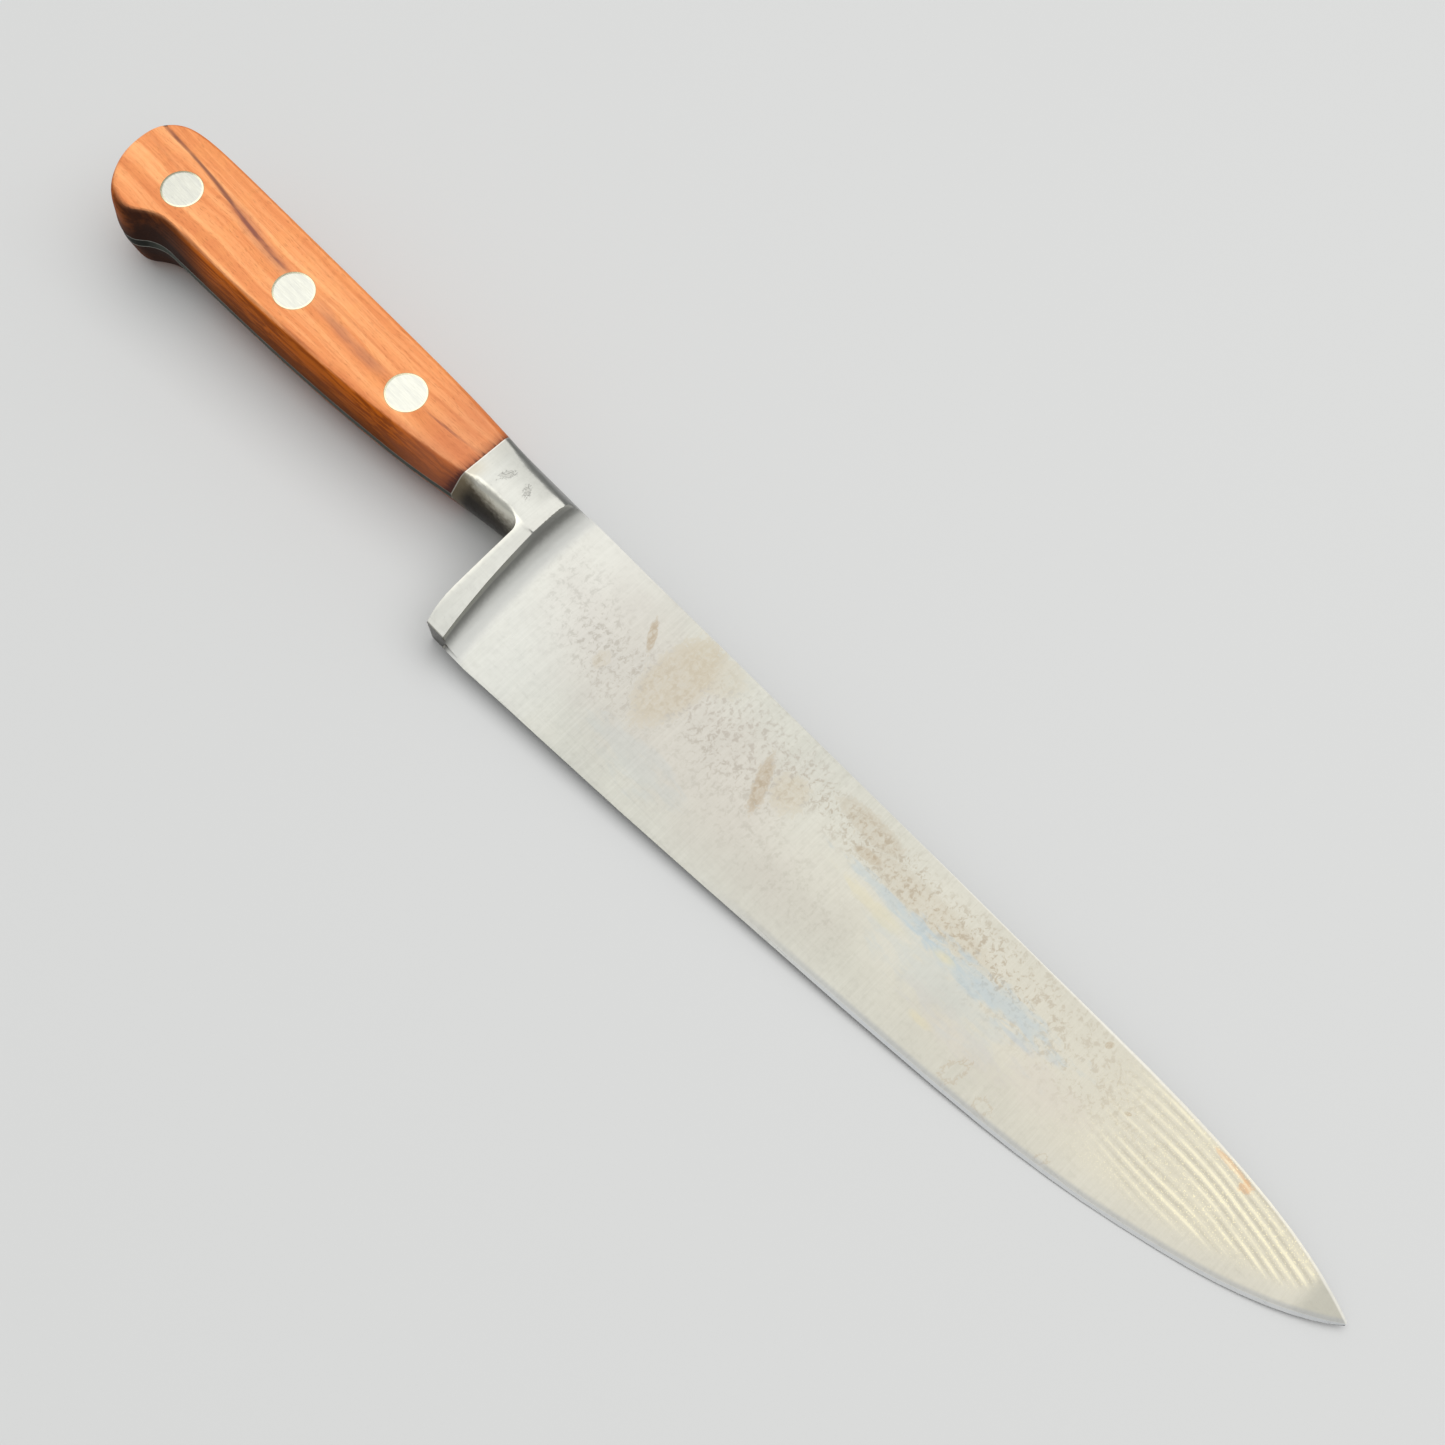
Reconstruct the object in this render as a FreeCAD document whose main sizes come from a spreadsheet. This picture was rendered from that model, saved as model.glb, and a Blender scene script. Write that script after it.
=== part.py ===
"""French-pattern chef knife: one full-tang forging, two wooden scales, three two-piece cutler's rivets.

Every piece is drawn about the handle's origin, half-way between the outer rivets in the knife's
mid-plane: X runs along the straight spine to the tip, Y points to the spine and Z out of the right face.
One placement then carries all pieces to the knife's own frame, whose origin is the middle of the bounding
box at the lower face.
"""
import FreeCAD, Part
import math
import os

from FreeCAD import Vector

os.makedirs("parts", exist_ok=True)
doc = FreeCAD.newDocument("chef_knife")

DIMENSIONS = [
    ("butt_reach", 56.5, "handle's origin to the butt end"),
    ("tip_reach", 314.0, "handle's origin to the tip"),
    ("spine_line", 13.0, "handle's origin up to the straight spine"),
    ("edge_depth", 31.15, "handle's origin down to the deepest point of the edge"),
    ("half_handle", 10.0, "half the thickness of the handle over its flat faces"),
    ("shoulder", 6.9, "height above the mid-plane where the handle's rounding starts"),
    ("tang_thick", 2.6, "thickness of the tang"),
    ("scale_front", 61.0, "front end of a scale at its flat face"),
    ("joint_lean", 2.0, "how far the front end of a scale leans back down to the tang"),
    ("rivet_pitch", 37.5, "distance between the rivets along the handle"),
    ("rivet_rise", 1.54, "rise of each rivet above the one behind it"),
    ("middle_shift", 0.6, "how far the middle rivet stands forward of its even place"),
    ("head_radius", 5.0, "radius of a rivet head"),
    ("head_height", 2.2, "height of a rivet head"),
    ("sleeve_radius", 3.0, "outer radius of the tube on the female half"),
    ("pin_radius", 2.0, "radius of the pin on the male half"),
    ("pin_gap", 0.3, "room between the pin's end and the head of the female half"),
    ("guard_bottom", 30.4, "handle's origin down to the end of the finger guard"),
    ("guard_half", 4.6, "half the thickness of the guard at its end"),
    ("guard_root", 9.96, "half the thickness of the guard where it leaves the ferrule"),
    ("guard_fillet", 2.2, "radius of the corner between ferrule and guard"),
    ("blade_start", 85.0, "handle's origin to the heel of the edge"),
    ("blade_even", 92.0, "where the blade starts to thin toward the tip"),
    ("spine_thick", 4.0, "thickness of the spine at the bolster"),
    ("edge_thick", 0.4, "thickness behind the edge bevel"),
    ("edge_tip", 0.08, "thickness left at the cutting edge"),
    ("edge_bevel", 1.0, "height of the edge bevel"),
    ("cove_sink", 0.05, "how far the bolster's cove runs out below the blade's face"),
]
sheet = doc.addObject("Spreadsheet::Sheet", "dimensions")
for row, (alias, value, note) in enumerate(DIMENSIONS, start=1):
    sheet.set(f"A{row}", note)
    sheet.set(f"B{row}", str(value))
    sheet.setAlias(f"B{row}", alias)
doc.recompute()


def size(alias):
    return float(sheet.get(alias))


def origin_plane(body, role):
    return next(item for item in body.Origin.OriginFeatures if item.Role == role)


def new_body(name):
    return doc.addObject("PartDesign::Body", name)


def new_sketch(body, name, role, geometry, height=None):
    """A sketch on one of the body's own planes, raised by an expression."""
    sketch = body.newObject("Sketcher::SketchObject", name)
    sketch.AttachmentSupport = [(origin_plane(body, role), "")]
    sketch.MapMode = "FlatFace"
    if height is not None:
        sketch.setExpression("AttachmentOffset.Base.z", height)
    for curve in geometry:
        sketch.addGeometry(curve, False)
    return sketch


def polygon(points):
    """Straight lines round the points and back to the first."""
    corners = [Vector(u, v, 0) for u, v in points]
    return [Part.LineSegment(a, b) for a, b in zip(corners, corners[1:] + corners[:1])]


def smooth(points, start=None, end=None, pace=None):
    """One smooth curve through the points, leaving and arriving along the given directions.

    Pace is the outline whose spacing sets the curve's parameters, so that stacked outlines match.
    """
    nodes = [Vector(x, y, 0) for x, y in points]
    curve = Part.BSplineCurve()
    if start is None:
        curve.interpolate(Points=nodes)
        return curve
    marks = [Vector(x, y, 0) for x, y in pace]
    steps = [(b - a).Length for a, b in zip(marks, marks[1:])]
    total = sum(steps)
    curve.interpolate(
        Points=nodes,
        Parameters=[sum(steps[:count]) / total for count in range(len(steps) + 1)],
        InitialTangent=Vector(*start, 0).normalize() * total,
        FinalTangent=Vector(*end, 0).normalize() * total,
        Scale=False,
    )
    return curve


def extrude(body, name, sketch, length):
    """A pad of the sketch, half its length to each side."""
    pad = body.newObject("PartDesign::Pad", name)
    pad.Profile = sketch
    pad.SideType = "Symmetric"
    pad.setExpression("Length", length)
    return pad


# ---------------------------------------------------------------------------------------------------
# The handle's form: tang, scales and ferrule are ground flush, so one form holds them all.
# Each row: outline at the tang (x, y), rim of the flat face (x, y), share of the inset at the shoulder.
# ---------------------------------------------------------------------------------------------------
FORM_FRONT = 90.0
SPINE_ROWS = [
    (FORM_FRONT, 13.0, FORM_FRONT, 7.6, 0.38),
    (72.0, 13.0, 72.0, 8.2, 0.36),
    (52.0, 13.0, 52.0, 10.2, 0.29),
    (32.0, 13.0, 32.0, 11.0, 0.25),
    (5.0, 13.0, 5.0, 11.25, 0.25),
    (-26.0, 13.0, -26.0, 11.3, 0.25),
]
BUTT_ROWS = [
    (-26.0, 13.0, -26.0, 11.3, 0.25),
    (-38.0, 12.9, -37.6, 11.25, 0.27),
    (-46.5, 12.3, -45.6, 10.75, 0.27),
    (-52.4, 10.3, -51.0, 9.1, 0.27),
    (-55.7, 6.2, -54.3, 5.5, 0.27),
    (-56.5, 0.4, -55.0, 0.4, 0.27),
    (-55.9, -5.5, -53.9, -4.6, 0.27),
    (-53.7, -10.5, -51.3, -8.8, 0.27),
    (-50.3, -14.2, -48.4, -11.6, 0.27),
    (-45.9, -16.3, -45.3, -12.9, 0.25),
    (-42.7, -16.7, -42.9, -13.2, 0.25),
    (-40.5, -15.9, -41.1, -12.5, 0.25),
    (-38.8, -14.4, -39.4, -11.3, 0.25),
    (-37.1, -13.3, -37.4, -10.1, 0.28),
    (-34.4, -12.35, -34.5, -9.1, 0.34),
    (-29.0, -12.1, -29.0, -8.7, 0.36),
]
BELLY_ROWS = [
    (-29.0, -12.1, -29.0, -8.7, 0.36),
    (-10.0, -11.65, -10.0, -8.1, 0.36),
    (5.0, -11.1, 5.0, -7.5, 0.36),
    (20.0, -10.2, 20.0, -6.6, 0.37),
    (35.0, -8.95, 35.0, -5.2, 0.38),
    (48.0, -7.45, 48.0, -3.5, 0.40),
    (60.0, -5.35, 60.0, -1.7, 0.41),
    (69.0, -3.85, 69.0, -0.9, 0.42),
    (78.0, -2.85, 78.0, -0.6, 0.43),
    (FORM_FRONT, -2.3, FORM_FRONT, -0.5, 0.43),
]


def level_point(row, lean, turn):
    """A point of the outline, moved in from the tang's outline by its share of the lean and by the turn."""
    x_tang, y_tang, x_rim, y_rim, share = row
    inset = share * lean + turn
    return (x_tang + (x_rim - x_tang) * inset, y_tang + (y_rim - y_tang) * inset)


def level_outline(lean, turn):
    """The closed outline of the handle at one level: spine, butt, belly and the front end."""
    sides = []
    for rows, start, end in (
        (SPINE_ROWS, (-1.0, 0.0), (-1.0, 0.0)),
        (BUTT_ROWS, (-1.0, 0.0), (1.0, 0.03)),
        (BELLY_ROWS, (1.0, 0.03), (1.0, 0.03)),
    ):
        points = [level_point(row, lean, turn) for row in rows]
        pace = [level_point(row, 0.0, 0.0) for row in rows]
        sides.append((points, smooth(points, start, end, pace)))
    front = Part.LineSegment(Vector(*sides[2][0][-1], 0), Vector(*sides[0][0][0], 0))
    return [curve for points, curve in sides] + [front]


# The side leans straight from the tang to the shoulder. From there it turns into the flat face along a
# parabola whose control point lies on the leaning side, carried on up to the level of the flat face.
LEAN_AT_FLAT = (size("half_handle") - size("tang_thick") / 2) / (size("shoulder") - size("tang_thick") / 2)
TURN_STEPS = 3


def half_form(side, sign):
    """The right (+1) or left (-1) half of the handle's form, from the tang's face to the flat face."""
    body = new_body(f"{side}_form")
    start = "dimensions.tang_thick / 2"
    tang = new_sketch(body, f"{side}_at_tang", "XY_Plane", level_outline(0.0, 0.0),
                      start if sign > 0 else f"-{start}")
    turns = []
    for step in range(TURN_STEPS + 1):
        done = step / TURN_STEPS
        left = (1.0 - done) ** 2
        outline = level_outline(left + 2.0 * done * (1.0 - done) * LEAN_AT_FLAT, done ** 2)
        height = f"(dimensions.half_handle - (dimensions.half_handle - dimensions.shoulder) * {left:.4f})"
        turns.append(new_sketch(body, f"{side}_turn_{step}", "XY_Plane", outline,
                                height if sign > 0 else f"-{height}"))
    sides = body.newObject("PartDesign::AdditiveLoft", f"{side}_sides")
    sides.Profile = tang
    sides.Sections = [turns[0]]
    sides.Ruled = True
    rounding = body.newObject("PartDesign::AdditiveLoft", f"{side}_rounding")
    rounding.Profile = turns[0]
    rounding.Sections = turns[1:]
    rounding.Ruled = False
    return body


right_form = half_form("right", 1)
left_form = half_form("left", -1)
tang_form = new_body("tang_form")
extrude(tang_form, "tang_slab", new_sketch(tang_form, "tang_outline", "XY_Plane", level_outline(0.0, 0.0)),
        "dimensions.tang_thick")
doc.recompute()


def joint_block(side, sign):
    """Everything behind the leaning joint between a scale and the ferrule, on one side of the tang."""
    body = new_body(f"{side}_joint")
    near = sign * size("tang_thick") / 2
    far = sign * (size("half_handle") + 2.0)
    back = -size("butt_reach") - 10.0
    slope = size("joint_lean") / (size("half_handle") - size("tang_thick") / 2)
    front = size("scale_front")
    corners = [
        (back, near),
        (front - size("joint_lean"), near),
        (front + 2.0 * slope, far),
        (back, far),
    ]
    sketch = new_sketch(body, f"{side}_joint_side", "XZ_Plane", polygon(corners))
    extrude(body, f"{side}_joint_block", sketch, "4 * dimensions.edge_depth")
    return body


right_joint = joint_block("right", 1)
left_joint = joint_block("left", -1)

# ---------------------------------------------------------------------------------------------------
# Rivets: a male half from the right, a female half from the left, heads flush with the flat faces.
# ---------------------------------------------------------------------------------------------------
RIVETS = [("rear", -1), ("middle", 0), ("front", 1)]


def cylinder(name, step, radius, bottom, height):
    """A cylinder on the axis of one rivet, standing on the given height."""
    item = doc.addObject("Part::Cylinder", name)
    item.setExpression("Radius", radius)
    item.setExpression("Height", height)
    shift = " + dimensions.middle_shift" if step == 0 else ""
    item.setExpression("Placement.Base.x", f"{step} * dimensions.rivet_pitch{shift}")
    item.setExpression("Placement.Base.y", f"{step} * dimensions.rivet_rise")
    item.setExpression("Placement.Base.z", bottom)
    return item


def boolean(kind, name, base, tools):
    """Cut or Common of a base with one or more tools, or a Fuse of them all."""
    if kind == "fuse":
        item = doc.addObject("Part::MultiFuse", name)
        item.Shapes = [base] + tools
        item.Refine = True
        return item
    tool = tools[0] if len(tools) == 1 else boolean("fuse", f"{name}_tools", tools[0], tools[1:])
    item = doc.addObject("Part::Cut" if kind == "cut" else "Part::Common", name)
    item.Base = base
    item.Tool = tool
    return item


HEAD_SEAT = "dimensions.half_handle - dimensions.head_height"
rivet_halves = []
holes = {"right": [], "left": [], "tang": []}
for place, step in RIVETS:
    right_head = cylinder(f"{place}_right_head", step, "dimensions.head_radius", HEAD_SEAT,
                          "dimensions.head_height")
    left_head = cylinder(f"{place}_left_head", step, "dimensions.head_radius", "-dimensions.half_handle",
                         "dimensions.head_height")
    tube = cylinder(f"{place}_tube", step, "dimensions.sleeve_radius", f"-({HEAD_SEAT})",
                    f"2 * ({HEAD_SEAT})")
    pin = cylinder(f"{place}_pin", step, "dimensions.pin_radius",
                   f"-({HEAD_SEAT}) + dimensions.pin_gap",
                   f"2 * ({HEAD_SEAT}) - dimensions.pin_gap")
    bore = cylinder(f"{place}_bore", step, "dimensions.pin_radius", f"-({HEAD_SEAT})",
                    f"2 * ({HEAD_SEAT})")
    male = boolean("fuse", f"{place}_rivet_male", right_head, [pin])
    sleeve = boolean("cut", f"{place}_sleeve", tube, [bore])
    female = boolean("fuse", f"{place}_rivet_female", left_head, [sleeve])
    rivet_halves += [male, female]
    hole = cylinder(f"{place}_hole", step, "dimensions.sleeve_radius", f"-({HEAD_SEAT})",
                    f"2 * ({HEAD_SEAT})")
    for side, head in (("right", right_head), ("left", left_head)):
        seat = cylinder(f"{place}_{side}_seat", step, "dimensions.head_radius",
                        HEAD_SEAT if side == "right" else "-dimensions.half_handle - 1",
                        "dimensions.head_height + 1")
        holes[side] += [hole, seat]
    holes["tang"].append(hole)

# ---------------------------------------------------------------------------------------------------
# Scales: what the joint blocks keep of the form, with stepped holes for the rivets.
# ---------------------------------------------------------------------------------------------------
scales = []
for side, form, joint in (("right", right_form, right_joint), ("left", left_form, left_joint)):
    blank = boolean("common", f"{side}_scale_blank", form, [joint])
    scales.append(boolean("cut", f"{side}_scale", blank, holes[side]))

# ---------------------------------------------------------------------------------------------------
# Forging: tang, ferrule, finger guard and blade in one piece.
# ---------------------------------------------------------------------------------------------------
guard_end = -size("guard_bottom")
guard_plan = new_body("guard_plan")
GUARD_BACK = 78.2
GUARD_TOP = -0.2
BLOCK_FRONT = FORM_FRONT - 1.0
guard_edges = polygon([
    (BLOCK_FRONT, guard_end),
    (BLOCK_FRONT, GUARD_TOP),
    (GUARD_BACK, GUARD_TOP),
    (GUARD_BACK, -12.0),
    (80.0, guard_end),
])
guard_edges[3] = smooth([(GUARD_BACK, -12.0), (78.25, -20.0), (78.75, -26.0), (80.0, guard_end)])
extrude(guard_plan, "guard_block", new_sketch(guard_plan, "guard_outline", "XY_Plane", guard_edges),
        "2 * dimensions.half_handle")
guard_taper = new_body("guard_taper")
taper_section = [
    (guard_end - 2.0, size("guard_half") - 0.3),
    (GUARD_TOP, size("guard_root")),
    (GUARD_TOP, -size("guard_root")),
    (guard_end - 2.0, -size("guard_half") + 0.3),
]
extrude(guard_taper, "guard_wedge", new_sketch(guard_taper, "guard_section", "YZ_Plane", polygon(taper_section)),
        "4 * dimensions.edge_depth + 200")
guard = boolean("common", "guard", guard_plan, [guard_taper])

ferrule_blank = boolean("cut", "right_ferrule_blank", right_form, [right_joint])
ferrule_other = boolean("cut", "left_ferrule_blank", left_form, [left_joint])
grip_joined = boolean("fuse", "grip_joined", tang_form, [ferrule_blank, ferrule_other, guard])
doc.recompute()


def in_corner(edge):
    """Whether an edge lies where the back of the guard leaves the belly side of the ferrule."""
    box = edge.BoundBox
    level = abs(box.XMin - GUARD_BACK) < 0.1 and abs(box.XMax - GUARD_BACK) < 0.1
    return level and -4.0 < box.YMin and box.YMax < 1.0


grip_blank = doc.addObject("Part::Fillet", "grip_blank")
grip_blank.Base = grip_joined
radius = size("guard_fillet")
grip_blank.Edges = [
    (number, radius, radius)
    for number, edge in enumerate(grip_joined.Shape.Edges, start=1)
    if in_corner(edge)
]


def blade_half(y):
    """Half the blade's thickness beside the bolster, at a height y of its section."""
    above = size("edge_depth") - size("edge_bevel")
    share = (y + above) / (size("spine_line") + above)
    return size("edge_thick") / 2 + (size("spine_thick") - size("edge_thick")) / 2 * share


# Each row: height y of the profile, x of the bolster's front edge, radius of the cove in front of it.
COVE_ROWS = [(17.0, 82.4, 6.0), (-8.0, 82.3, 5.6), (-35.0, 85.9, 4.8)]


def cove_cutter(side, sign):
    """The room in front of the bolster: its lower rear corner is the hollow that runs out on the blade."""
    body = new_body(f"{side}_cove")
    sketches = []
    for index, (y, front, radius) in enumerate(COVE_ROWS):
        floor = blade_half(y) - size("cove_sink")
        centre = (front + radius, floor + radius)
        arc_mid = (centre[0] - radius * math.cos(math.pi / 4), centre[1] - radius * math.sin(math.pi / 4))
        corners = [
            Vector(front + radius, sign * floor, 0),
            Vector(FORM_FRONT + 10, sign * floor, 0),
            Vector(FORM_FRONT + 10, sign * 16, 0),
            Vector(front, sign * 16, 0),
            Vector(front, sign * (floor + radius), 0),
        ]
        geometry = [Part.LineSegment(a, b) for a, b in zip(corners, corners[1:])]
        geometry.append(Part.Arc(corners[-1], Vector(arc_mid[0], sign * arc_mid[1], 0), corners[0]))
        sketches.append(new_sketch(body, f"{side}_cove_{index}", "XZ_Plane", geometry, str(-y)))
    loft = body.newObject("PartDesign::AdditiveLoft", f"{side}_cove_skin")
    loft.Profile = sketches[0]
    loft.Sections = sketches[1:]
    return body


right_cove = cove_cutter("right", 1)
left_cove = cove_cutter("left", -1)
grip_cut = boolean("cut", "grip_cut", grip_blank, [right_cove, left_cove])
grip_drilled = boolean("cut", "grip_drilled", grip_cut, holes["tang"])

# Each row: distance x, spine y, edge y, thickness of the spine.
BLADE_ROWS = [
    (92.0, 13.0, -31.15, 4.0),
    (122.0, 13.0, -29.4, 3.6),
    (152.0, 13.0, -27.5, 3.2),
    (182.0, 13.0, -25.3, 2.8),
    (212.0, 13.0, -22.9, 2.4),
    (236.0, 13.0, -20.6, 2.05),
    (256.0, 12.95, -17.7, 1.75),
    (272.0, 12.35, -14.2, 1.5),
    (286.0, 11.1, -10.4, 1.25),
    (298.0, 9.2, -6.0, 1.0),
    (307.0, 6.85, -1.5, 0.75),
    (314.0, 4.2, 3.4, 0.45),
]


def blade_section(spine, edge, thick):
    """A long wedge from the spine, with the edge bevel below it; both get smaller where the blade is low."""
    bevel = min(size("edge_bevel"), 0.35 * (spine - edge))
    behind = min(size("edge_thick"), 0.7 * thick) / 2
    tip = size("edge_tip") / 2
    right_side = [(spine, thick / 2), (edge + bevel, behind), (edge, tip)]
    left_side = [(y, -half) for y, half in reversed(right_side)]
    return polygon(right_side + left_side)


blade_root = new_body("blade_root")
root_section = blade_section(size("spine_line"), -size("edge_depth"), size("spine_thick"))
root_sketch = new_sketch(blade_root, "root_section", "YZ_Plane", root_section, "dimensions.blade_start")
root_pad = blade_root.newObject("PartDesign::Pad", "root_pad")
root_pad.Profile = root_sketch
root_pad.setExpression("Length", "dimensions.blade_even - dimensions.blade_start")

blade_body = new_body("blade_body")
blade_sketches = []
for index, (x, spine, edge, thick) in enumerate(BLADE_ROWS):
    section = blade_section(spine, edge, thick)
    blade_sketches.append(new_sketch(blade_body, f"blade_{index}", "YZ_Plane", section, str(x)))
blade_loft = blade_body.newObject("PartDesign::AdditiveLoft", "blade_skin")
blade_loft.Profile = blade_sketches[0]
blade_loft.Sections = blade_sketches[1:]
blade_loft.Ruled = False

forging = boolean("fuse", "blade_forging", grip_drilled, [blade_root, blade_body])

# ---------------------------------------------------------------------------------------------------
# Place every piece in the knife's own frame, check it and write it.
# ---------------------------------------------------------------------------------------------------
pieces = [forging] + scales + rivet_halves
for piece in pieces:
    piece.Label = piece.Name
    piece.setExpression("Placement.Base.x", "(dimensions.butt_reach - dimensions.tip_reach) / 2")
    piece.setExpression("Placement.Base.y", "(dimensions.edge_depth - dimensions.spine_line) / 2")
    piece.setExpression("Placement.Base.z", "dimensions.half_handle")
doc.recompute()

failed = [item.Name for item in doc.Objects if "Invalid" in item.State or "Error" in item.State]
if failed:
    raise RuntimeError(f"objects that did not compute: {failed}")
for piece in pieces:
    shape = piece.Shape
    if shape.isNull() or not shape.isValid() or len(shape.Solids) != 1:
        raise RuntimeError(f"{piece.Label} is not one valid solid: {len(shape.Solids)} solids")
for piece in pieces:
    piece.Shape.exportStep(f"parts/{piece.Label}.step")
    box = piece.Shape.optimalBoundingBox(False)
    print(f"{piece.Label}: {piece.Shape.Volume:.1f} mm3, x {box.XMin:.2f}..{box.XMax:.2f}, "
          f"y {box.YMin:.2f}..{box.YMax:.2f}, z {box.ZMin:.2f}..{box.ZMax:.2f}")
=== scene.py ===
"""Looks for the chef knife: steel, wood and nickel silver, a pale floor, soft light and the camera."""
import math

import bmesh
import bpy
import numpy as np
from mathutils import Matrix, Vector


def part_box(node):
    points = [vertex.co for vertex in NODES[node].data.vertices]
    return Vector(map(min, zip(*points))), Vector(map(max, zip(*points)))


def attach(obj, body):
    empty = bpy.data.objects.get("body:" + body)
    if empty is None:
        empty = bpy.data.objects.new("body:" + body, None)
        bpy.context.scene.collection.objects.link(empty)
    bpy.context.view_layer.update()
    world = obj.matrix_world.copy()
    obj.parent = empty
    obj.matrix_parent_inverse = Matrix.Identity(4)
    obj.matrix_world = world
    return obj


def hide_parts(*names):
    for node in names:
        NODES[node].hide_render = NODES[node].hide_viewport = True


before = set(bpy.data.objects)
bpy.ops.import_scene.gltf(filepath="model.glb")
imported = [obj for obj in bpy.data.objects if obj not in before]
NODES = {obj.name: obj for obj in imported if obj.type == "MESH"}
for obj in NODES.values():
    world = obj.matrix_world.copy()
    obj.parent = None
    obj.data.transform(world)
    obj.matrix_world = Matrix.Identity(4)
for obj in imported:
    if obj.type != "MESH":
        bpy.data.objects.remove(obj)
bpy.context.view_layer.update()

MM = 0.001


def mm(x, y, z):
    """A point given in millimetres, in metres."""
    return Vector((x, y, z)) * MM


# ---------------------------------------------------------------- node helpers


class Surface:
    """One material under construction. The helpers return the socket that carries their result."""

    def __init__(self, name, **constants):
        self.material = bpy.data.materials.new(name)
        self.material.use_nodes = True
        self.nodes = self.material.node_tree.nodes
        self.links = self.material.node_tree.links
        self.shader = self.nodes["Principled BSDF"]
        for key, value in constants.items():
            self.shader.inputs[key.replace("_", " ")].default_value = value
        place = self.nodes.new("ShaderNodeTexCoord").outputs["Object"]
        self.place = self.vector("SCALE", place, scale=1 / MM)
        split = self.nodes.new("ShaderNodeSeparateXYZ")
        self.links.new(self.place, split.inputs[0])
        self.x, self.y, self.z = split.outputs
        self.colour = None

    def put(self, socket, value):
        """Sets a socket to a number or colour, or links another socket to it."""
        if isinstance(value, bpy.types.NodeSocket):
            self.links.new(value, socket)
        else:
            socket.default_value = value

    def math(self, operation, first, second=0.0, third=0.0, clamp=False):
        """A sum, product or other step on numbers."""
        node = self.nodes.new("ShaderNodeMath")
        node.operation = operation
        node.use_clamp = clamp
        for socket, value in zip(node.inputs, (first, second, third)):
            self.put(socket, value)
        return node.outputs[0]

    def add(self, first, second):
        return self.math("ADD", first, second)

    def times(self, first, second):
        return self.math("MULTIPLY", first, second)

    def vector(self, operation, first, second=(0, 0, 0), scale=1.0):
        """The same on vectors."""
        node = self.nodes.new("ShaderNodeVectorMath")
        node.operation = operation
        self.put(node.inputs[0], first)
        self.put(node.inputs[1], second)
        if operation == "SCALE":
            node.inputs["Scale"].default_value = scale
        return node.outputs["Value" if operation == "LENGTH" else "Vector"]

    def stretched(self, sx, sy, sz, turn=(0, 0, 0), source=None):
        """The place, turned and then scaled along each axis, for a texture that runs one way."""
        node = self.nodes.new("ShaderNodeMapping")
        self.put(node.inputs["Vector"], source or self.place)
        node.inputs["Rotation"].default_value = turn
        node.inputs["Scale"].default_value = (sx, sy, sz)
        return node.outputs[0]

    def noise(self, vector, scale=1.0, detail=2.0, rough=0.5, warp=0.0):
        """Cloudy noise from 0 to 1, mostly near 0.5."""
        node = self.nodes.new("ShaderNodeTexNoise")
        self.put(node.inputs["Vector"], vector)
        node.inputs["Scale"].default_value = scale
        node.inputs["Detail"].default_value = detail
        node.inputs["Roughness"].default_value = rough
        node.inputs["Distortion"].default_value = warp
        return node.outputs["Fac"]

    def steps(self, value, low, high, to_low=0.0, to_high=1.0):
        """A smooth step: to_low below low, to_high above high."""
        node = self.nodes.new("ShaderNodeMapRange")
        node.interpolation_type = "SMOOTHSTEP"
        self.put(node.inputs["Value"], value)
        node.inputs["From Min"].default_value = low
        node.inputs["From Max"].default_value = high
        node.inputs["To Min"].default_value = to_low
        node.inputs["To Max"].default_value = to_high
        return node.outputs[0]

    def ramp(self, value, stops):
        """A colour ramp through (position, colour) stops."""
        node = self.nodes.new("ShaderNodeValToRGB")
        self.put(node.inputs[0], value)
        points = node.color_ramp.elements
        while len(points) < len(stops):
            points.new(0.5)
        for point, (position, colour) in zip(points, stops):
            point.position = position
            point.color = (*colour, 1.0)
        return node.outputs[0]

    def mix(self, share, first, second, blend="MIX"):
        """The first colour, with the given share of the second over it."""
        node = self.nodes.new("ShaderNodeMix")
        node.data_type = "RGBA"
        node.blend_type = blend
        self.put(node.inputs["Factor"], share)
        for socket, value in zip((node.inputs[6], node.inputs[7]), (first, second)):
            self.put(socket, value if isinstance(value, bpy.types.NodeSocket) else (*value, 1.0))
        return node.outputs[2]

    def paint(self, where, tint, strength=None, blend="MIX"):
        """Lays a tint over the surface's colour, as strongly as where and strength say."""
        share = where if strength is None else self.times(where, strength)
        self.colour = self.mix(share, self.colour, tint, blend)

    def curve(self, value, points):
        """A smooth height over the given value, through the given (value, height) points."""
        low_in, high_in = points[0][0], points[-1][0]
        heights = [height for _, height in points]
        low, high = min(heights), max(heights)
        span = (high - low) or 1.0
        scaled = self.nodes.new("ShaderNodeMapRange")
        self.put(scaled.inputs["Value"], value)
        scaled.inputs["From Min"].default_value = low_in
        scaled.inputs["From Max"].default_value = high_in
        node = self.nodes.new("ShaderNodeFloatCurve")
        self.links.new(scaled.outputs[0], node.inputs["Value"])
        line = node.mapping.curves[0]
        while len(line.points) < len(points):
            line.points.new(0.5, 0.5)
        for point, (place, height) in zip(line.points, points):
            point.location = ((place - low_in) / (high_in - low_in), (height - low) / span)
        node.mapping.update()
        return self.math("MULTIPLY_ADD", node.outputs[0], span, low)

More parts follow.
